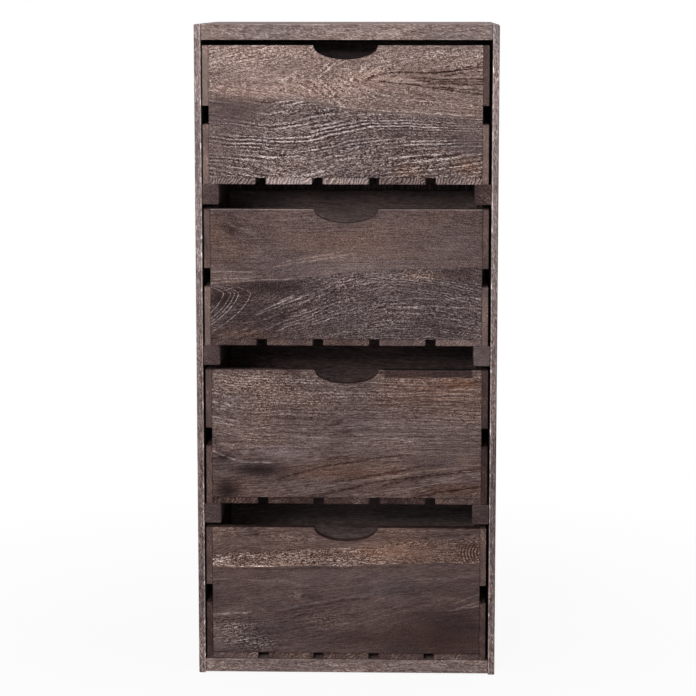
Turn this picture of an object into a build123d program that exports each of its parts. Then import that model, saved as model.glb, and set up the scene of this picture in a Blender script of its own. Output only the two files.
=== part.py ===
from build123d import *
import os

# Chest with four crate-style drawers that slide on wooden runners.
# Millimetres. X runs to the right, Y to the back and Z up.
# The origin is on the floor, under the middle of the case. The fronts face -Y.

# Case
case_width = 300.0
case_depth = 260.0
side_thickness = 7.0
top_thickness = 15.2
bottom_thickness = 13.5
back_thickness = 5.0
foot_height = 1.2
runner_width = 16.4
runner_height = 20.0
runner_setback = 0.8
case_edge_ease = 0.8
left_corner_radius = 1.0
right_corner_radius = 2.6

# Drawers
drawer_count = 4
drawer_height = 136.3
drawer_side_gap = 1.5
drawer_back_gap = 1.0
drawer_setback = 1.0
gap_over_top_drawer = 5.4
gap_over_drawer = 4.6
board_thickness = 13.0
slat_thickness = 6.5
side_slat_gap = 18.3
bottom_slat_count = 5
bottom_slat_gap = 10.3
slat_edge_ease = 0.5

# Where each drawer sits in its sideways play, as a share of the side gap, from the top drawer down
drawer_lean = (-0.65, -0.3, 0.0, -0.4)

# Finger cut-out, a half ellipse in the top edge of a drawer front
cutout_width = 63.6
cutout_depth = 13.9

# Nails, all of one size, with their heads flush
nail_length = 18.0
nail_diameter = 1.4
nail_head_diameter = 2.8
nail_head_thickness = 0.8
nail_clearance = 0.05
nail_edge_margin = 12.0
nail_end_margin = 30.0
nail_line_offset = 2.5
nails_per_panel_edge = 3
nails_per_runner = 2
nails_per_slat_end = 2

# Case heights, from the floor up
bay_pitch = drawer_height + gap_over_drawer + runner_height
bottom_panel_top = foot_height + bottom_thickness
lowest_to_highest = (drawer_count - 1) * bay_pitch
top_panel_underside = bottom_panel_top + lowest_to_highest + drawer_height + gap_over_top_drawer
case_height = top_panel_underside + top_thickness

# Case faces
case_right = case_width / 2
inner_right = case_right - side_thickness
case_front = -case_depth / 2
case_back = case_depth / 2
back_panel_front = case_back - back_thickness

# Drawer faces
drawer_right = inner_right - drawer_side_gap
board_right = drawer_right - slat_thickness
drawer_front = case_front + drawer_setback
drawer_back = back_panel_front - drawer_back_gap
front_board_back = drawer_front + board_thickness
back_board_front = drawer_back - board_thickness
side_slat_height = (drawer_height - side_slat_gap) / 2
bottom_slat_gaps = (bottom_slat_count - 1) * bottom_slat_gap
bottom_slat_width = (2 * board_right - bottom_slat_gaps) / bottom_slat_count

pieces = {}
nails = {}


def board(x_limits, y_limits, z_limits, ease):
    """A plank between the given limits, with all its edges eased."""
    low = Vector(x_limits[0], y_limits[0], z_limits[0])
    high = Vector(x_limits[1], y_limits[1], z_limits[1])
    size = high - low
    plank = Pos((low + high) / 2) * Box(size.X, size.Y, size.Z)
    return chamfer(plank.edges(), ease)


def nail_shape(point, direction, clearance):
    """A nail driven from a point on the surface, or its hole when a clearance is given."""
    head = Cylinder(
        nail_head_diameter / 2 + clearance,
        nail_head_thickness,
        align=(Align.CENTER, Align.CENTER, Align.MIN),
    )
    shank = Cylinder(
        nail_diameter / 2 + clearance,
        nail_length + clearance,
        align=(Align.CENTER, Align.CENTER, Align.MIN),
    )
    return Plane(origin=point, z_dir=direction) * (head + shank)


def fasten(group, outer, inner, points, direction):
    """Nail one piece to another: a hole through both for each nail of the group."""
    for point in points:
        hole = nail_shape(point, direction, nail_clearance)
        pieces[outer] = pieces[outer] - hole
        pieces[inner] = pieces[inner] - hole
        nails.setdefault(group, []).append(nail_shape(point, direction, 0.0))


def spread(low, high, margin, count):
    """Evenly spaced places between two limits, the outer ones a margin inside them."""
    step = (high - low - 2 * margin) / (count - 1)
    return [low + margin + step * place for place in range(count)]


sides = {"left": -1, "right": 1}
corner_radii = {"left": left_corner_radius, "right": right_corner_radius}


def upright(front, outline, depth):
    """An outline drawn as width and height, extruded backwards from a front face."""
    front_plane = Plane(origin=(0, front, 0), x_dir=(1, 0, 0), z_dir=(0, -1, 0))
    return extrude(front_plane * outline, -depth)


def side_panel(side, corner_radius):
    """A side panel, with its outer top corner worn round from front to back."""
    middle = side * (inner_right + case_right) / 2
    outline = Pos(middle, case_height / 2) * Rectangle(side_thickness, case_height)
    corner = outline.vertices().sort_by_distance((side * case_right, case_height))[0]
    plank = upright(case_front, fillet(corner, corner_radius), case_depth)
    lengthwise = plank.edges().filter_by(Axis.Y)
    round_seams = lengthwise.sort_by_distance((side * case_right, 0, case_height))[:2]
    sharp_edges = [edge for edge in plank.edges() if edge not in round_seams]
    return chamfer(sharp_edges, case_edge_ease)


def make_case():
    """Side, top, bottom and back panels, runners and the nails that hold them."""
    for name, side in sides.items():
        pieces[f"{name}_side_panel"] = side_panel(side, corner_radii[name])
    pieces["top_panel"] = board(
        (-inner_right, inner_right),
        (case_front, back_panel_front),
        (top_panel_underside, case_height),
        case_edge_ease,
    )
    pieces["bottom_panel"] = board(
        (-inner_right, inner_right),
        (case_front, back_panel_front),
        (foot_height, bottom_panel_top),
        case_edge_ease,
    )
    pieces["back_panel"] = board(
        (-inner_right, inner_right),
        (back_panel_front, case_back),
        (foot_height, case_height),
        case_edge_ease,
    )
    panel_mid_heights = {
        "top_panel": case_height - top_thickness / 2,
        "bottom_panel": foot_height + bottom_thickness / 2,
    }
    for panel, height in panel_mid_heights.items():
        for side in sides:
            nail_side_panel(side, panel, height, nails_per_panel_edge)
        across = spread(-inner_right, inner_right, nail_end_margin, nails_per_panel_edge)
        nail_back_panel(panel, [(place, height) for place in across])
    for number in range(1, drawer_count):
        make_runners(number)


def make_runners(number):
    """The left and right runners that carry one drawer, under its lower edges."""
    top = drawer_bottom(number)
    middle = top - runner_height / 2
    for name, side in sides.items():
        runner = f"{name}_runner_{number}"
        pieces[runner] = board(
            sorted([side * (inner_right - runner_width), side * inner_right]),
            (case_front + runner_setback, back_panel_front),
            (top - runner_height, top),
            case_edge_ease,
        )
        nail_side_panel(name, runner, middle, nails_per_runner)
        nail_back_panel(runner, [(side * (inner_right - runner_width / 2), middle)])


def nail_side_panel(name, inner, height, count):
    """Nails through a side panel into the end of a panel or along a runner."""
    side = sides[name]
    depths = spread(case_front, back_panel_front, nail_end_margin, count)
    points = [(side * case_right, depth, height) for depth in depths]
    fasten("case_nails", f"{name}_side_panel", inner, points, (-side, 0, 0))


def nail_back_panel(inner, places):
    """Nails through the back panel, at places given as width and height."""
    points = [(across, case_back, height) for across, height in places]
    fasten("case_nails", "back_panel", inner, points, (0, -1, 0))


def drawer_bottom(number):
    """Height of a drawer's lower face. Drawer 1 is the top one."""
    return bottom_panel_top + (drawer_count - number) * bay_pitch


def front_board(middle, bottom, top):
    """A front board, with the finger cut-out in the middle of its top edge."""
    outline = Pos(middle, (bottom + top) / 2) * Rectangle(2 * board_right, top - bottom)
    cutout = Pos(middle, top) * Ellipse(cutout_width / 2, cutout_depth)
    plank = upright(drawer_front, outline - cutout, board_thickness)
    return chamfer(plank.edges(), slat_edge_ease)


def make_drawer(number):
    """One drawer: front and back boards, four side slats, bottom slats and nails."""
    name = f"drawer_{number}"
    middle = drawer_lean[(number - 1) % len(drawer_lean)] * drawer_side_gap
    bottom = drawer_bottom(number)
    top = bottom + drawer_height
    seat = bottom + slat_thickness
    pieces[f"{name}_front"] = front_board(middle, seat, top)
    pieces[f"{name}_back"] = board(
        (middle - board_right, middle + board_right),
        (back_board_front, drawer_back),
        (seat, top),
        slat_edge_ease,
    )
    ends = {
        f"{name}_front": (drawer_front + front_board_back) / 2,
        f"{name}_back": (back_board_front + drawer_back) / 2,
    }
    rows = {
        "upper": (top - side_slat_height, top),
        "lower": (bottom, bottom + side_slat_height),
    }
    for side_name, side in sides.items():
        inner_face = middle + side * board_right
        outer_face = middle + side * drawer_right
        for row, height_limits in rows.items():
            slat = f"{name}_{side_name}_{row}_slat"
            pieces[slat] = board(
                sorted([inner_face, outer_face]),
                (drawer_front, drawer_back),
                height_limits,
                slat_edge_ease,
            )
            heights = spread(*height_limits, nail_edge_margin, nails_per_slat_end)
            for end, depth in ends.items():
                line = depth + nail_line_offset
                points = [(outer_face, line, height) for height in heights]
                fasten(f"{name}_nails", slat, end, points, (-side, 0, 0))
    for place in range(bottom_slat_count):
        slat = f"{name}_bottom_slat_{place + 1}"
        left = middle - board_right + place * (bottom_slat_width + bottom_slat_gap)
        right = left + bottom_slat_width
        depth_limits = (drawer_front, drawer_back)
        pieces[slat] = board((left, right), depth_limits, (bottom, seat), slat_edge_ease)
        for end, depth in ends.items():
            line = depth - nail_line_offset
            places = spread(left, right, nail_edge_margin, nails_per_slat_end)
            points = [(across, line, bottom) for across in places]
            fasten(f"{name}_nails", slat, end, points, (0, 0, 1))


make_case()
for drawer_number in range(1, drawer_count + 1):
    make_drawer(drawer_number)

os.makedirs("parts", exist_ok=True)
for piece_name, piece in pieces.items():
    export_step(piece, f"parts/{piece_name}.step")
for group_name, group in nails.items():
    export_step(Compound(children=group), f"parts/{group_name}.step")
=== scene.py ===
import math
import random
from collections import namedtuple

import bpy
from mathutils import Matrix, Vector


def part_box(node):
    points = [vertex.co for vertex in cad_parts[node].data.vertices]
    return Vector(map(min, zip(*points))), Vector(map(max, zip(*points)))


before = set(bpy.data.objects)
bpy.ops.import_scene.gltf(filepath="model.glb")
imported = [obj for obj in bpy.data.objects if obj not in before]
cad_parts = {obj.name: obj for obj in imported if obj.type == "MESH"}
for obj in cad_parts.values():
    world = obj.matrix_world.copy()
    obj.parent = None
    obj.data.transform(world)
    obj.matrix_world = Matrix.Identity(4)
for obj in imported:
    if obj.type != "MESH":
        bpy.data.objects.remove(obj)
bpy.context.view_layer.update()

MM = 1000.0
SCREEN_GAMMA = 2.2

# What brings noise of 0, 1, 2 or 3 octaves to a spread of about 1
NOISE_GAIN = (7.7, 10.3, 11.8, 12.5)

# Numbers spread evenly as far as this on both sides of 0 have a spread of about 1
CELL_REACH = 1.7

# How much of a board's brightness shows through the stain, what the stain adds to red, green and blue,
# and what a full warm tone adds to that
STAIN_SHOWS = 0.99
STAIN = (0.04, -0.01, -0.012)
WARM_TONE = (0.055, 0.0, -0.045)

# The darkest that wood gets, and the darkest that one of its three colours gets
DARKEST_WOOD = 0.03
DARKEST_COLOUR = 0.01

# The longest stretch, in millimetres, over which a stroke fades out at its ends
LONGEST_FADE = 8.0

# The gloss of the wood, and the depth of its grain in millimetres
WOOD_SPECULAR = 0.2
GRAIN_DEPTH = 0.2

# Just outside a front's finger cut-out, and just behind its front arris, in millimetres from its middle.
# They bound the painted highlight and painted shade along a front's upper edge.
CUTOUT_REACH = 32.0
CUTOUT_FLOOR = 50.0
BEHIND_ARRIS = (-6.0, -5.7)


# Fields

class Field:
    """A number worked out at each point of a surface by math nodes."""

    def __init__(self, tree, socket):
        self.tree = tree
        self.socket = socket

    def __add__(self, other):
        return calc(self.tree, "ADD", self, other)

    def __sub__(self, other):
        return calc(self.tree, "SUBTRACT", self, other)

    def __rsub__(self, other):
        return calc(self.tree, "SUBTRACT", other, self)

    def __mul__(self, other):
        return calc(self.tree, "MULTIPLY", self, other)

    def __truediv__(self, other):
        return calc(self.tree, "DIVIDE", self, other)

    def __abs__(self):
        return calc(self.tree, "ABSOLUTE", self)

    __radd__ = __add__
    __rmul__ = __mul__

    def least(self, other):
        return calc(self.tree, "MINIMUM", self, other)

    def most(self, other):
        return calc(self.tree, "MAXIMUM", self, other)

    def bell(self):
        """1 where the field is 0, falling to nothing at about 2 on either side."""
        return calc(self.tree, "EXPONENT", self * self * -1.0)

    def rise(self, low, high, shape="SMOOTHSTEP"):
        """0 below the low limit, 1 above the high one and a ramp between them."""
        node = self.tree.nodes.new("ShaderNodeMapRange")
        node.interpolation_type = shape
        for slot, value in zip(node.inputs, (self, low, high)):
            plug(self.tree, slot, value)
        return Field(self.tree, node.outputs[0])


def plug(tree, slot, value):
    """Sets a node's input to a field, or to a plain number or colour."""
    if isinstance(value, Field):
        tree.links.new(value.socket, slot)
    else:
        slot.default_value = value


def calc(tree, operation, *values):
    """A field worked out by one math node."""
    node = tree.nodes.new("ShaderNodeMath")
    node.operation = operation
    for slot, value in zip(node.inputs, values):
        plug(tree, slot, value)
    return Field(tree, node.outputs[0])


def new_material(name):
    """A new material, with its node tree and its shader."""
    material = bpy.data.materials.new(name)
    material.use_nodes = True
    return material, material.node_tree, material.node_tree.nodes["Principled BSDF"]


def object_places(tree):
    """The three coordinates of a point, in millimetres of the shared frame."""
    texture = tree.nodes.new("ShaderNodeTexCoord")
    split = tree.nodes.new("ShaderNodeSeparateXYZ")
    tree.links.new(texture.outputs["Object"], split.inputs[0])
    return [Field(tree, output) * MM for output in split.outputs]


def noise(tree, places, scales, offsets, detail):
    """Smooth noise about 0 with a spread of about 1. A scale is in features per millimetre."""
    join = tree.nodes.new("ShaderNodeCombineXYZ")
    for slot, place, scale, offset in zip(join.inputs, places, scales, offsets):
        plug(tree, slot, calc(tree, "MULTIPLY_ADD", place, scale, offset))
    node = tree.nodes.new("ShaderNodeTexNoise")
    tree.links.new(join.outputs[0], node.inputs["Vector"])
    node.inputs["Scale"].default_value = 1.0
    node.inputs["Detail"].default_value = detail
    gain = NOISE_GAIN[detail]
    return calc(tree, "MULTIPLY_ADD", Field(tree, node.outputs["Fac"]), gain, -gain / 2)


def mix(tree, share, first, second):
    """A blend of two colours, with the share that the second one has."""
    node = tree.nodes.new("ShaderNodeMix")
    node.data_type = "RGBA"
    plug(tree, node.inputs["Factor"], share)
    plug(tree, node.inputs["A"], first)
    plug(tree, node.inputs["B"], second)
    return Field(tree, node.outputs["Result"])


def stained(tree, level, warm):
    """The colour of stained wood, for a brightness on the screen's scale from 0 to 1.

    The stain adds the same at any brightness. Warm goes from 0, grey, to 1, tan.
    """
    node = tree.nodes.new("ShaderNodeCombineColor")
    for slot, tint, tone in zip(node.inputs, STAIN, WARM_TONE):
        part = level * STAIN_SHOWS + warm * tone + tint
        plug(tree, slot, calc(tree, "POWER", part.most(DARKEST_COLOUR), SCREEN_GAMMA))
    return Field(tree, node.outputs[0])


def add_bump(tree, shader, height, depth):
    """Relief from a height field, with its depth in millimetres."""
    node = tree.nodes.new("ShaderNodeBump")
    node.inputs["Distance"].default_value = depth / MM
    plug(tree, node.inputs["Height"], height)
    tree.links.new(node.outputs["Normal"], shader.inputs["Normal"])


# Boards

class Board:
    """A board's material in the making. Places on it are millimetres from its middle."""

    def __init__(self, node, grain):
        self.node = node
        self.material, self.tree, self.shader = new_material(node)
        low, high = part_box(node)
        axes = ["XYZ".index(letter) for letter in grain]
        places = object_places(self.tree)
        middle = (low + high) / 2 * MM
        self.half_sizes = [(high - low)[axis] / 2 * MM for axis in axes]
        self.along, self.across, self.through = (places[axis] - middle[axis] for axis in axes)
        self.depth = self.through + self.across * 0.5
        self.draw = random.Random(node)
        self.wobble = self.noise((0.03, 0.08, 0.08), 2)
        self.broken = self.noise((0.22, 0.5, 0.5), 0).rise(-1.0, 0.6) * 0.6 + 0.4

    def noise(self, scales, detail=1, across=None):
        """Noise with its own scale along, across and through the board."""
        offsets = [self.draw.uniform(0, 1000) for scale in scales]
        places = (self.along, across or self.across, self.depth)
        return noise(self.tree, places, scales, offsets, detail)

    def cells(self, scales, across):
        """Random numbers about 0 with a spread of about 1, one for each small cell of the surface."""
        join = self.tree.nodes.new("ShaderNodeCombineXYZ")
        plug(self.tree, join.inputs[0], (self.along + self.through * 1.3) * scales[0])
        plug(self.tree, join.inputs[1], (across + self.through) * scales[1])
        node = self.tree.nodes.new("ShaderNodeTexVoronoi")
        node.voronoi_dimensions = "2D"
        node.inputs["Scale"].default_value = 1.0
        self.tree.links.new(join.outputs[0], node.inputs["Vector"])
        split = self.tree.nodes.new("ShaderNodeSeparateColor")
        self.tree.links.new(node.outputs["Color"], split.inputs[0])
        return Field(self.tree, split.outputs[0]) * (2 * CELL_REACH) - CELL_REACH

    def patch(self, along, across, wide, high):
        """A soft spot of strength 1 at a place on the face."""
        first = (self.along - along) / wide
        second = (self.across - across) / high
        return calc(self.tree, "EXPONENT", (first * first + second * second) * -1.0)

    def stains(self, *spots):
        """Soft spots, each given by its place, its reach along and across, and its strength."""
        return sum(self.patch(*spot[:4]) * spot[4] for spot in spots)

    def level(self, path):
        """The height of a line through a few points, at each place along the board."""
        height = self.wobble * 0.4 + path[0][1]
        for start, end in zip(path, path[1:]):
            height = height + self.along.rise(start[0], end[0], "LINEAR") * (end[1] - start[1])
        return height

    def stroke(self, path, width):
        """A broken line along the grain through a few points, fading out at its ends."""
        fade = min(LONGEST_FADE, (path[-1][0] - path[0][0]) * 0.2)
        begun = self.along.rise(path[0][0], path[0][0] + fade)
        ended = self.along.rise(path[-1][0] - fade, path[-1][0])
        return ((self.across - self.level(path)) / width).bell() * (begun - ended) * self.broken

    def strokes(self, width, *paths):
        """Several strokes of one width."""
        return sum(self.stroke(path, width) for path in paths)

    def under(self, path, softness):
        """1 below a line through a few points, 0 above it."""
        return (self.level(path) - self.across).rise(-softness, softness)

    def edge_gap(self):
        """Distance from a point of the surface to the nearest edge of the board."""
        places = (self.along, self.across, self.through)
        first, second, third = (half - abs(place) for half, place in zip(self.half_sizes, places))
        return first.least(second).most(first.most(second).least(third))


# A figure says how far a board's rings bend from straight, what it adds to the brightness, the warmth
# and the flecks, how calm the grain is and how strong the rings are. A lean is given where the fibres
# bend otherwise than the rings.
FIGURE_PARTS = "bend shade warm fleck calm ringed lean"
Figure = namedtuple("Figure", FIGURE_PARTS, defaults=(0.0, 0.0, 0.0, 0.0, 1.0, None))


def plain_figure(board):
    """Growth rings about a pith beside the board, a little out of line with it."""
    aside = board.draw.uniform(-0.8, 0.8) * board.half_sizes[1]
    below = board.draw.uniform(15, 50)
    tilt = board.draw.uniform(-0.08, 0.08)
    drift = board.draw.uniform(-0.06, 0.06)
    first = board.across - board.along * drift - aside
    second = board.through + board.along * tilt + below
    radius = calc(board.tree, "SQRT", first * first + second * second)
    return Figure(radius - board.across, lean=board.along * -drift)


def slat_figure(board):
    """Rings that cross the end of a flat slat at a slant."""
    first = board.across - board.draw.uniform(50, 70)
    second = board.through + board.draw.uniform(25, 40)
    radius = calc(board.tree, "SQRT", first * first + second * second)
    return Figure(radius - board.across)


def wood(node, grain, figure=plain_figure, value=0.34, warm=0.25, fleck=0.15, fine=2.0, speck=0.015,
         bite=1.4, contrast=1.0, ring_gap=3.2, rings=0.03, rows=0.3, wear=0.0, edge_shade=0.0):
    """Brushed and stained wood. The grain names the axes along, across and through it.

    The value is the brightness on the screen's scale from 0 to 1. Flecks are the pale pores: fleck is how
    many there are, fine how small and bite how strong, and speck is the strength of the finest dots.
    The rings are a gap in millimetres apart, rings is how dark they are and rows how far the flecks follow
    them. Contrast is that of the fibres. Along the edges, wear is pale, and the edge shade is painted
    shade that darkens them where the gaps between the parts fall dark.
    """
    board = Board(node, grain)
    tree = board.tree
    drawn = figure(board)

    # Broad swells, clouds of tone, and bands, lines and dashes that follow the rings
    broad = board.noise((0.006, 0.02, 0.02))
    flow = board.across + drawn.bend + broad * 2.0
    ring = flow + board.wobble * 0.8
    cloud = board.noise((0.014, 0.03, 0.03), 2)
    band = board.noise((0.007, 0.13, 0.13), across=ring)
    line = board.noise((0.02, 0.8, 0.8), across=ring)
    dash = board.noise((0.14, 1.4, 1.4), 0, across=ring)

    # Pores, cells and dots that follow the fibres
    fibre = flow if drawn.lean is None else board.across + drawn.lean
    pore = board.noise((0.3, 1.5, 1.5), 0, across=fibre + board.wobble * 0.3)
    ripple = board.noise((0.06, 0.08, 0.08), 0)
    grit = board.cells((0.4 * fine, 0.8 * fine), fibre + ripple)
    dot = board.noise((1.1, 1.3, 1.3), 0)

    # The rings: a wave from one to the next, and the dark late wood
    turn = calc(tree, "FRACT", ring / ring_gap + cloud * 0.2)
    wave = abs(turn - 0.5) * 4.0 - 1.0
    late = (turn.rise(0.45, 0.9) - turn.rise(0.9, 1.0) - 0.3) * drawn.ringed * rings

    # Pale flecks and dark pits, and the shade of the whole
    flecked = (drawn.fleck + fleck + cloud * 0.05).rise(0.0, 1.0, "LINEAR")
    flecked = flecked * (band.rise(-1.2, 0.8) * 0.3 + 0.7)
    in_rows = wave * drawn.ringed * (band.rise(-1.0, 1.0) * 1.2 + 0.3)
    mark = grit * 0.7 + pore * 0.4 + in_rows * rows
    pale = mark.rise(0.2, 1.3) * flecked
    pit = (1.0 - mark.rise(-1.3, -0.2)) * flecked
    end = board.half_sizes[0]
    end_grain = abs(board.along).rise(end - 0.6, end - 0.4)
    shade = band * 0.012 + (line * 0.026 + dash * 0.034) * (1.0 - end_grain * 0.8) - late
    spots = (pale * 0.42 - pit * 0.28 - flecked * 0.04) * bite
    shade = (shade * contrast + spots) * (1.0 - drawn.calm) + cloud * 0.016 + dot * speck
    # Pale wear along the edges, and painted shade along them for the dark gaps between the parts
    ragged = board.edge_gap() + line * 0.2 + board.wobble * 0.3
    edge_wear_and_shade = 1.0 - ragged.rise(0.1, 1.0)
    shade = shade + edge_wear_and_shade * (wear * 0.25 - edge_shade * 0.12)

    level = (shade + drawn.shade + value).most(DARKEST_WOOD)
    hue = (drawn.warm + warm + cloud * 0.08).rise(0.0, 1.0, "LINEAR")
    plug(tree, board.shader.inputs["Base Color"], stained(tree, level, hue))
    plug(tree, board.shader.inputs["Roughness"], 0.82 - level * 0.2)
    board.shader.inputs["Specular IOR Level"].default_value = WOOD_SPECULAR
    add_bump(tree, board.shader, line * 0.2 + dash * 0.15 - late, GRAIN_DEPTH)
    return board.material


# Figures of the drawer fronts

def rim(board, arris, top_face_shade):
    """Painted highlight on a front's upper arris, and painted shade on its top face and in its cut-out."""
    top = board.half_sizes[1]
    behind = board.through.rise(*BEHIND_ARRIS)
    beside = abs(board.along).rise(CUTOUT_REACH, CUTOUT_REACH + 1.0)
    cutout_shade = (1.0 - beside) * board.across.rise(CUTOUT_FLOOR, CUTOUT_FLOOR + 0.2)
    # Painted shade on the top face and inside the cut-out
    face = cutout_shade.most(board.across.rise(top - 0.4, top - 0.2)) * behind
    # Painted highlight on the front arris, plus that painted shade
    return board.across.rise(top - 1.3, top - 0.3) * (1.0 - behind) * arris + face * top_face_shade


def front_1(board):
    """The top front: tan wood with a pointed figure, over darker wood with rows of flecks."""
    seam = [(-135, 12.5), (-46, 12.5), (-6, 4.5), (24, 0.5), (94, -4.5), (135, -5.5)]
    lower = board.under(seam, 1.0)
    dusk = board.under(seam, 5.0)
    near = board.across.rise(-32, 2)
    climb = board.level([(-135, 8), (-75, 0), (-20, 5), (60, 19), (135, 24)]) * (1.0 - near)
    climb = climb + board.level([(-135, 0), (-75, -6), (-20, 6), (20, 12), (60, 12), (135, 6)]) * near
    pull = board.level([(-135, -58), (-44, -37), (-22, -23), (-8, -14), (18, 0), (140, 15)])
    heart = board.across - 31.0
    tongue = calc(board.tree, "SQRT", heart * heart + 40.0) - pull
    bend = (1.0 - lower) * (tongue - board.across) - lower * climb
    drop = board.level([(-135, 0), (-40, 19), (20, 22), (135, 18)])
    lean = (1.0 - lower) * drop - lower * climb

    arches = board.strokes(
        0.8,
        [(18, 31), (34, 37), (54, 39), (79, 37), (103, 40.5), (150, 50)],
        [(18, 31), (49, 29), (70, 26.5), (93, 22.5), (150, 14.5)],
        [(82, 36.5), (110, 41), (160, 46)],
        [(92, 35.5), (115, 38), (160, 42)],
        [(60, 33.5), (110, 32), (160, 31.5)],
        [(66, 31), (110, 29.5), (160, 28)],
        [(75, 28.5), (110, 27), (160, 25)],
        [(88, 24.5), (115, 22), (160, 18)],
    )
    glints = board.strokes(
        0.7,
        [(26, 32.5), (50, 32.3), (76, 31.5)],
        [(36, 30.5), (60, 29.3), (88, 28)],
        [(90, 34), (120, 34.3), (150, 35)],
        [(-10, 6), (24, 2), (94, -3), (150, -5)],
    )
    crest = board.strokes(1.6, [(-44, 32), (-22, 46), (-8, 54)], [(-44, 32), (-27, 17), (-5, 12)])
    tan = board.patch(-75, 34, 60, 28)
    gold = board.stroke([(-150, 24), (-60, 20), (-15, 22)], 7.0)
    smooth_left = board.patch(-108, 3, 32, 11)
    smooth_right = board.patch(122, -28, 16, 26)
    core = board.patch(30, 31, 22, 8)
    knot = board.patch(60, -60, 14, 8) + board.patch(122, -55, 14, 10)
    shade = tan * 0.06 + gold * 0.03 - smooth_left * 0.05 + smooth_right * 0.03 - dusk * 0.085
    shade = shade + board.stains(
        (70, -30, 70, 40, -0.05),
        (90, 40, 50, 25, -0.02),
        (-22, 28, 18, 14, -0.075),
        (-14, -52, 22, 9, 0.06),
        (128, -1, 14, 9, -0.055),
        (-110, -27, 20, 10, -0.055),
        (82, -52, 28, 9, -0.055),
        (-87, 55, 26, 8, -0.05),
        (-38, -27, 20, 9, -0.05),
        (-113, 17, 20, 8, -0.045),
    )
    shade = shade - arches * 0.3 + glints * 0.14 - crest * 0.05 + rim(board, 0.08, -0.1)
    warm = (1.0 - dusk) * 0.28 + tan * 0.2 + gold * 0.2 + core * 0.3 + knot * 0.6 - smooth_left * 0.1
    fleck = dusk * 0.22 - smooth_left * 0.5
    calm = smooth_left * 0.7 + smooth_right * 0.75 + board.patch(-128, -35, 24, 30) * 0.6
    calm = calm + board.patch(80, 32, 45, 11) * 0.6
    return Figure(bend, shade, warm, fleck, calm, lower * 0.7 + 0.3, lean)


def front_2(board):
    """The second front: plain brown wood, over dark wood with hooked lines and rising flecks."""
    seam = [(-135, -11), (-97, -9), (-43, -5), (6, 3), (55, 5), (90, 5.8), (135, 8.2)]
    lower = board.under(seam, 0.9)
    upper = 1.0 - lower
    climb = board.level([(-135, -26), (-91, -14), (-64, 0), (-15, 16), (40, 23), (90, 20), (135, 12)])
    slope = board.level([(-86, 0), (-62, 6), (3, 17), (60, 19), (135, 19)])
    bend = (lower - 1.0) * slope * (1.0 - board.across.rise(0, 50)) - lower * climb

    over = (board.across + 20.0).most(0.0)
    beneath = (board.across + 20.0).least(0.0)
    hook = board.along + over * over * 0.28 + beneath * beneath * 0.018 - beneath * 0.35
    eye = (1.0 - board.along.rise(-98, -90)) * (board.across.rise(-62, -56) - board.across.rise(-10, -8))
    tips = (-122, -115, -111, -107, -95)
    hooks = sum(((hook - tip) / 0.5).bell() for tip in tips) * eye * board.broken
    hollow = board.stains((-126, -24, 9, 9, 1.0), (-106, -20, 16, 9, 0.6), (-72, -13, 27, 7, 1.0))

    streak = board.strokes(0.7, [(-88, 5.5), (-40, 13.5), (12, 21)], [(-70, 11), (-30, 18), (0, 23)])
    rows = board.strokes(
        0.6,
        [(-150, 2.5), (-90, 1.5)],
        [(-150, -9), (-97, -7), (-50, -4)],
        [(-150, -5), (-90, -5)],
    )
    rays = board.strokes(
        0.55,
        [(-97, -44), (-55, -27), (-12, -11)],
        [(-86, -57.5), (-50, -42), (-12, -29)],
        [(-78, -34), (-48, -20)],
        [(-66, -53.5), (-20, -35)],
        [(-86, -37.5), (-52, -22)],
        [(-90, -49), (-60, -36)],
        [(-74, -58), (-30, -43)],
        [(-60, -44), (-28, -31)],
        [(-56, -33), (-18, -19)],
        [(-70, -28), (-44, -17)],
        [(-46, -54), (-8, -42)],
    )
    dashes = board.strokes(
        0.7,
        [(30, -25), (90, -24), (150, -23)],
        [(45, -32), (90, -32), (150, -34)],
        [(78, -42), (110, -45), (150, -53)],
        [(90, -47), (115, -52), (150, -59)],
    )
    spot = board.patch(-114, 46, 9, 8)
    bow = board.stroke([(-122, 54), (-106, 45.5), (-84, 37)], 2.5)
    cluster = board.patch(73, -1, 20, 5)
    slit = board.patch(113, 2, 20, 5)
    shade = streak * 0.13 + rows * 0.2 + rays * 0.24 + dashes * 0.2 + hooks * 0.42 + bow * 0.09
    shade = shade - lower * 0.055 - hollow * 0.11 - spot * 0.09 - slit * 0.07
    shade = shade + board.patch(40, -2, 40, 8) * lower * 0.04 + rim(board, 0.2, -0.06)
    shade = shade + board.stains(
        (110, 56, 50, 8, -0.03),
        (0, 5, 75, 16, 0.06),
        (75, -30, 70, 30, 0.03),
        (-95, 38, 45, 26, -0.05),
        (-75, -40, 45, 22, -0.045),
        (-46, -39, 20, 10, -0.05),
        (-77, 20, 20, 10, 0.045),
        (-119, -20, 14, 10, -0.045),
        (19, 33, 24, 12, 0.04),
        (3, -50, 22, 10, 0.035),
        (108, 32, 24, 10, 0.04),
        (10, -3, 28, 7, -0.04),
        (-60, -13, 18, 7, 0.035),
    )
    warm = streak * 0.5 + cluster * 0.7 - lower * 0.2
    warm = warm + board.stains(
        (-130, 44, 9, 16, 0.35),
        (-115, 14, 22, 8, 0.2),
        (-100, -60, 40, 5, 0.4),
        (10, 35, 60, 16, 0.3),
    )
    middle = board.along.rise(-70, -20) - board.along.rise(85, 95)
    deep = board.under([(along, across - 8) for along, across in seam], 9.0).most(middle)
    fleck = lower * (board.along.rise(-90, 0) * deep * 0.25 + 0.08)
    fleck = fleck + cluster * 0.6 + board.patch(20, 34, 75, 16) * 0.12
    calm = upper * 0.3 + hollow * 0.6 + slit * 0.6 - bow * 0.3
    return Figure(bend, shade, warm, fleck, calm)


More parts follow.
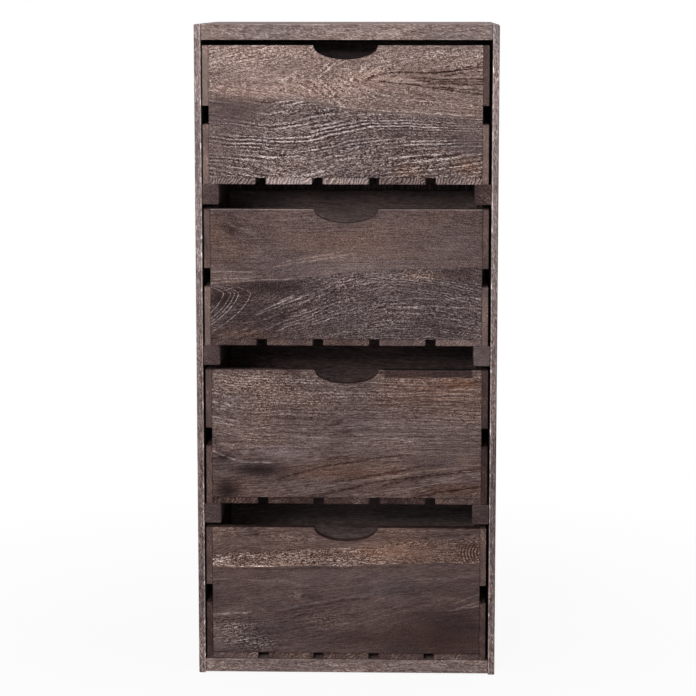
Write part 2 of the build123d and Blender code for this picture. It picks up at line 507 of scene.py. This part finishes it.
def front_3(board):
    """The third front: level rows, over dark lines that sweep up to the right."""
    lower = 1.0 - board.across.rise(-30, -8)
    climb = board.level([(-135, -14), (-71, -10), (-18, 0), (34, 4), (93, 15), (135, 20)])
    dip = board.level([(-135, 5), (-109, 0)])
    bend = (lower - 1.0) * dip - lower * climb

    glow = board.patch(-74, 53, 50, 14)
    pits = board.patch(-46, 60, 14, 4)
    threads = board.strokes(
        0.6,
        [(-150, 35), (-108, 27.5)],
        [(-150, 20), (-104, 12)],
        [(-150, 28), (-118, 24)],
        [(-150, 14), (-110, 8)],
    )
    rows = board.strokes(
        0.7,
        [(10, 11), (80, 12), (150, 13)],
        [(-130, 4), (-40, 6), (20, 7)],
        [(20, 6.5), (90, 7), (150, 7)],
        [(0, 0), (70, 1.5), (150, 1)],
        [(-60, -4), (20, -4), (120, -4)],
        [(-150, 1), (-90, 0)],
    )
    curl = board.stroke([(-150, -12), (-114, -26), (-104, -29), (-70, -30)], 0.9)
    lilac = board.patch(-66, -19, 30, 7)
    hollow = board.patch(-88, -37, 23, 7)
    knot = board.patch(-120, -57, 13, 9) + board.patch(-122, -24, 8, 5) * 0.6
    brown = board.patch(-10, -39, 50, 8)
    sweeps = board.strokes(
        1.1,
        [(-75, -47), (-22, -33.5), (29, -24), (70, -21)],
        [(-44, -67), (-6, -58.6), (29, -49), (66, -43), (150, -32.5)],
        [(30, -54), (66, -45), (150, -35)],
        [(-20, -50), (30, -41), (75, -33), (100, -30)],
        [(60, -66), (100, -58), (150, -50)],
    )
    edges = board.strokes(
        0.7,
        [(-30, -55), (29, -45), (66, -39), (150, -29)],
        [(40, -60), (90, -50), (150, -43)],
    )
    grey = board.patch(92, -30, 22, 5)
    strip = board.across.rise(57, 58.5) * board.along.rise(34, 40) * (1.0 - board.along.rise(124, 127))
    orange = board.patch(114, 52, 20, 4)
    yellow = board.strokes(0.7, [(84, 42), (150, 42)], [(60, 46), (150, 47)], [(70, 36), (150, 36)])
    shade = glow * 0.01 - pits * 0.04 + threads * 0.24 + rows * 0.1 + curl * 0.26 + lilac * 0.08
    shade = shade - hollow * 0.17 - knot * 0.24 - sweeps * 0.15 + edges * 0.1 - grey * 0.03 - strip * 0.15
    shade = shade + yellow * 0.16 + orange * 0.05 - lower * 0.03 + rim(board, 0.05, -0.14)
    shade = shade + board.stains(
        (0, 3, 5, 3, -0.07),
        (-113, -27, 14, 8, 0.055),
        (-114, 35, 18, 10, 0.05),
        (-77, 22, 22, 10, -0.045),
        (127, 17, 14, 9, -0.05),
        (112, 34, 18, 8, 0.045),
        (-78, -6, 30, 8, -0.045),
        (-34, 28, 20, 9, -0.04),
        (19, 5, 20, 8, 0.04),
    )
    warm = glow * 0.2 + brown * 0.4 + orange * 0.9 + yellow * 0.6
    warm = warm + board.stains((90, 42, 60, 20, 0.5), (105, -57, 35, 6, 0.5))
    warm = warm - (strip + lilac + grey + hollow + knot) * 0.3
    fleck = board.across.rise(0, 40) * 0.15 + glow * 0.2 - lower * 0.15
    calm = strip * 0.8 + lilac * 0.5 + hollow * 0.7 + knot * 0.6 + grey * 0.7 + brown * 0.3
    return Figure(bend, shade, warm, fleck, calm)


def front_4(board):
    """The lowest front: a flecked, pale ribbon near the upper edge, and dark, plain wood below it."""
    seam = [(-136, 23.5), (-72, 24.5), (4, 26), (66, 28), (105, 29.5), (135, 28)]
    crest = [(-136, 37), (-87, 41), (4, 44.5), (41, 49), (84, 52), (120, 54.5), (135, 55)]
    lower = board.under(seam, 0.8)
    ribbon = board.under(crest, 2.5) - lower
    climb = board.level([(-135, -18), (-60, -10), (0, 2), (60, 14), (135, 24)])
    slant = board.level([(-135, 8), (-105, 0), (40, -4), (135, -10)])
    bend = (1.0 - lower) * slant - lower * climb

    first = board.along - 150
    second = board.across - 40
    radius = calc(board.tree, "SQRT", first * first + second * second * 2.0)
    arcs = calc(board.tree, "SINE", radius * 2.0)
    eye = board.patch(125, 40, 11, 10)
    lip = board.strokes(
        0.8,
        [(-160, 24.6), (-100, 25.2), (-50, 25.8)],
        [(-150, 34), (-110, 26)],
        [(-150, 41), (-112, 29)],
        [(-150, 37), (-120, 27)],
        [(-140, 28), (-108, 24.5)],
    )
    dip = board.stroke([(-160, 21.5), (-72, 22), (4, 23.5), (66, 25)], 1.5)
    tan = board.patch(55, 41, 52, 10)
    curve = board.strokes(
        0.9,
        [(-75, -25), (-31, -16), (-2, -10), (30, -9)],
        [(-60, -30), (-25, -21), (8, -15)],
    )
    row = board.stroke([(-150, -25.5), (-118, -24.5), (-92, -23)], 1.0)
    flows = board.strokes(
        0.9,
        [(-75, -22), (-31, -13), (0, -7), (40, -5)],
        [(-30, -50), (20, -32), (60, -20), (90, -14)],
        [(-10, -38), (30, -24), (60, -12)],
        [(-140, 12), (-60, 9), (-20, 2)],
        [(20, 10), (80, 12), (150, 18)],
    )
    moss = board.patch(-24, -30, 26, 10) + board.patch(-50, -5, 10, 6)
    corner = board.patch(100, -48, 62, 26)
    rays = board.strokes(0.8, [(106, -14), (150, 3)], [(106, -20), (150, -5)], [(100, -21), (150, -11)])
    rough = board.patch(-112, -42, 30, 16) + board.patch(-90, -55, 22, 10)
    shade = tan * 0.055 - lower * 0.05 + lip * 0.18 - dip * 0.06 + arcs * eye * 0.16 - eye * 0.1
    shade = shade - curve * 0.08 + flows * 0.06 + row * 0.24 + moss * 0.03 - corner * 0.11 + rays * 0.16
    shade = shade + rim(board, 0.05, -0.12)
    shade = shade + board.stains(
        (-60, 50, 80, 18, -0.02),
        (-10, 12, 60, 11, 0.03),
        (110, 60, 40, 6, -0.05),
        (-125, -49, 16, 10, 0.08),
        (122, -15, 16, 12, -0.045),
        (6, -51, 34, 12, -0.045),
        (57, 55, 28, 7, -0.055),
        (36, -3, 22, 10, 0.04),
        (-96, 9, 20, 9, -0.03),
    )
    warm = (1.0 - lower) * 0.25 + ribbon * 0.2 + tan * 0.4 + moss * 0.3
    fleck = ribbon * 0.48 - lower * 0.1 + rough * 0.5 + moss * 0.35 - tan * 0.42 - eye * 0.3
    calm = lower * 0.4 + corner * 0.5 - rough * 0.4 - moss * 0.3
    return Figure(bend, shade, warm, fleck, calm)


FRONTS = {
    "drawer_1_front": dict(
        figure=front_1, value=0.415, warm=0.2, fleck=0.4, fine=3.2, bite=1.9, speck=0.045,
        ring_gap=4.3, rings=0.07, rows=0.75,
    ),
    "drawer_2_front": dict(
        figure=front_2, value=0.29, warm=0.2, fleck=0.05, fine=3.2, bite=1.6, speck=0.055,
        rows=0.45,
    ),
    "drawer_3_front": dict(
        figure=front_3, value=0.30, warm=0.25, fleck=0.15, fine=3.2, bite=1.8, speck=0.04,
        contrast=1.1, rows=0.4,
    ),
    "drawer_4_front": dict(
        figure=front_4, value=0.29, warm=0.08, fleck=0.1, fine=3.0, bite=1.6, speck=0.025,
    ),
}


# Other materials

def nail_material():
    """Dull steel with specks of rust."""
    material, tree, shader = new_material("nail_steel")
    rust = noise(tree, object_places(tree), (1.3, 1.3, 1.3), (0, 0, 0), 3)
    steel = (0.10, 0.095, 0.09, 1.0)
    brown = (0.06, 0.032, 0.02, 1.0)
    plug(tree, shader.inputs["Base Color"], mix(tree, rust.rise(-0.5, 1.5), steel, brown))
    plug(tree, shader.inputs["Roughness"], rust * 0.08 + 0.5)
    shader.inputs["Metallic"].default_value = 0.7
    add_bump(tree, shader, rust, 0.05)
    return material


# Brightness of the drawers' backs and of the boards that show end on, from the top down and from the left
BACKS = (0.44, 0.41, 0.33, 0.42)
BOTTOM_SLATS = (
    (0.35, 0.50, 0.44, 0.31, 0.35),
    (0.23, 0.25, 0.26, 0.30, 0.34),
    (0.15, 0.16, 0.18, 0.14, 0.24),
    (0.30, 0.23, 0.21, 0.24, 0.25),
)
SIDE_SLATS = (
    dict(left_upper=0.44, left_lower=0.36, right_upper=0.27, right_lower=0.35),
    dict(left_upper=0.30, left_lower=0.36, right_upper=0.28, right_lower=0.34),
    # The third drawer's right slats are darker as painted shade, where they sit back in the case
    dict(left_upper=0.28, left_lower=0.26, right_upper=0.21, right_lower=0.16),
    dict(left_upper=0.25, left_lower=0.19, right_upper=0.28, right_lower=0.22),
)
RUNNERS = (
    dict(left=0.22, right=0.17),
    dict(left=0.23, right=0.31),
    dict(left=0.215, right=0.20),
)


def case_side(board):
    """A side panel: pale along its inner front arris, and painted shade on its face inside the case."""
    inward = board.through * (1.0 if board.node.startswith("left") else -1.0)
    edge = -board.half_sizes[1]
    front = 1.0 - board.across.rise(edge + 0.8, edge + 1.2)
    inside = inward.rise(2.9, 3.1)
    mouth = 1.0 - board.across.rise(edge + 10.0, edge + 45.0)
    arris = (inward.rise(1.9, 2.4) - inside) * front
    chips = board.noise((0.12, 0.5, 0.5), 0).rise(1.2, 1.5) * arris
    low = 1.0 - board.along.rise(-150, 250)
    plain = plain_figure(board)
    # Painted shade inside the case, deepest near its front
    dark = inside * (mouth * 0.14 + 0.2)
    return plain._replace(shade=arris * 0.18 + chips * 0.3 - dark - low * 0.11)


def side_slat_figure(board):
    """A drawer's side slat, with painted shade on the face that meets the case, deepest near the front."""
    outward = board.through * (-1.0 if "_left_" in board.node else 1.0)
    # Painted shade on the outer face, for the narrow gap beside the case
    gap_shade = outward.rise(2.6, 2.8)
    edge = -board.half_sizes[0]
    mouth = 1.0 - board.along.rise(edge + 3.0, edge + 25.0)
    return plain_figure(board)._replace(shade=gap_shade * (mouth * -0.2 - 0.06))


def bottom_slat_material(node, drawer, place):
    """The wood of a bottom slat. The rings show plainly only in the ends of the top drawer's slats."""
    value = BOTTOM_SLATS[drawer - 1][place - 1]
    rings, rows = (0.3, 0.8) if drawer == 1 else (0.04, 0.3)
    return wood(
        node, "YXZ", figure=slat_figure, value=value, fleck=0.3, rings=rings, rows=rows, edge_shade=0.3,
    )


# The dark edges given to the boards here are painted shade, for the dark gaps between the parts
def board_material(node):
    """The wood of one board, chosen by what the board is."""
    words = node.split("_")
    if node in FRONTS:
        return wood(node, "XZY", edge_shade=0.3, **FRONTS[node])
    if node.endswith("_back"):
        value = BACKS[int(words[1]) - 1]
        return wood(node, "XZY", value=value, warm=0.2, fleck=0.0, contrast=0.8, edge_shade=0.4)
    if "_bottom_slat_" in node:
        return bottom_slat_material(node, int(words[1]), int(words[4]))
    if "_slat" in node:
        value = SIDE_SLATS[int(words[1]) - 1][f"{words[2]}_{words[3]}"]
        return wood(node, "YZX", figure=side_slat_figure, value=value, warm=value, rings=0.02, edge_shade=0.4)
    if "_runner_" in node:
        value = RUNNERS[int(words[2]) - 1][words[0]]
        return wood(node, "YXZ", value=value, warm=0.05, rings=0.04, wear=0.3)
    if node == "top_panel":
        return wood(node, "XYZ", value=0.42, warm=0.3, fleck=0.25, wear=0.8)
    if node == "bottom_panel":
        return wood(node, "XYZ", value=0.375, warm=0.25, fleck=0.25, wear=0.5)
    if node == "back_panel":
        return wood(node, "ZXY")
    return wood(node, "ZYX", figure=case_side, value=0.46, warm=0.2, fleck=0.35, wear=0.2)


def dress_all():
    """Gives each solid its material: steel for the nails and its own wood for each board."""
    nails = nail_material()
    for name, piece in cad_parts.items():
        piece.data.materials.clear()
        piece.data.materials.append(nails if name.endswith("_nails") else board_material(name))


# Stage

WORLD_LIGHT = 0.25

# The share of the floor that glows white at the feet. The rest is lit and holds the shadow, and it fades
# out between two distances from the middle, in millimetres.
FLOOR_GLOW = 0.92
SHADOW_REACH = (250, 900)
FLOOR_RADIUS = 9.0
FLOOR_CORNERS = 96

# Where each softbox stands, where it points, its width and height in metres and its power in watts
SOFTBOXES = {
    "key": ((-0.5, -2.4, 0.95), (0, 0, 0.4), (0.6, 0.35), 26.0),
    "fill": ((-1.5, -8.0, 3.1), (0, 0, 3.1), (7.0, 5.0), 180.0),
    "top": ((0.1, 0.0, 2.6), (0, 0, 0.3), (1.6, 1.6), 24.0),
}

# The camera stands in front, looking down a little and turned a little to the left
CAMERA_PLACE = (0.0749, -2.5216, 0.6782)
CAMERA_DOWN = math.radians(8.177)
CAMERA_TURN = math.radians(1.758)
CAMERA_LENS = 125.45
SENSOR_WIDTH = 36.0


def seen_directly(tree):
    """1 for rays from the camera, a mirror or glass, 0 for rays that light the object."""
    rays = tree.nodes.new("ShaderNodeLightPath")
    kinds = ("Is Camera Ray", "Is Glossy Ray", "Is Transmission Ray")
    first, second, third = (Field(tree, rays.outputs[kind]) for kind in kinds)
    return first.most(second).most(third)


def add_floor():
    """A pale round floor that keeps a soft shadow at the feet and fades to white."""
    bpy.ops.mesh.primitive_circle_add(vertices=FLOOR_CORNERS, radius=FLOOR_RADIUS, fill_type="NGON")
    floor = bpy.context.object
    floor.name = "floor"
    material, tree, shader = new_material("floor_white")
    shader.inputs["Base Color"].default_value = (0.8, 0.8, 0.8, 1.0)
    shader.inputs["Roughness"].default_value = 0.9
    x, y = object_places(tree)[:2]
    distance = calc(tree, "SQRT", x * x + y * y)
    glow = tree.nodes.new("ShaderNodeEmission")
    blend = tree.nodes.new("ShaderNodeMixShader")
    white = distance.rise(*SHADOW_REACH) * (1.0 - FLOOR_GLOW) + FLOOR_GLOW
    plug(tree, blend.inputs[0], seen_directly(tree) * white)
    tree.links.new(shader.outputs[0], blend.inputs[1])
    tree.links.new(glow.outputs[0], blend.inputs[2])
    tree.links.new(blend.outputs[0], tree.nodes["Material Output"].inputs["Surface"])
    floor.data.materials.append(material)


def add_world():
    """White to the camera, and a soft light from all round on the object."""
    world = bpy.data.worlds.new("studio")
    bpy.context.scene.world = world
    world.use_nodes = True
    tree = world.node_tree
    background = tree.nodes["Background"]
    background.inputs["Color"].default_value = (1.0, 1.0, 1.0, 1.0)
    strength = seen_directly(tree) * (1.0 - WORLD_LIGHT) + WORLD_LIGHT
    plug(tree, background.inputs["Strength"], strength)


def add_softbox(name, place, target, size, power):
    """A flat lamp that points at a target and isn't seen by the camera."""
    lamp = bpy.data.lights.new(name, "AREA")
    lamp.shape = "RECTANGLE"
    lamp.size, lamp.size_y = size
    lamp.energy = power
    holder = bpy.data.objects.new(name, lamp)
    bpy.context.scene.collection.objects.link(holder)
    holder.location = place
    aim = Vector(target) - Vector(place)
    holder.rotation_euler = aim.to_track_quat("-Z", "Y").to_euler()
    holder.visible_camera = False


def add_camera():
    """A camera with the photograph's view."""
    data = bpy.data.cameras.new("camera")
    data.sensor_width = SENSOR_WIDTH
    data.lens = CAMERA_LENS
    camera = bpy.data.objects.new("camera", data)
    bpy.context.scene.collection.objects.link(camera)
    camera.location = CAMERA_PLACE
    camera.rotation_euler = (math.pi / 2 - CAMERA_DOWN, 0, CAMERA_TURN)
    bpy.context.scene.camera = camera


dress_all()
add_floor()
add_world()
for softbox_name, softbox in SOFTBOXES.items():
    add_softbox(softbox_name, *softbox)
add_camera()
bpy.context.scene.view_settings.view_transform = "Standard"
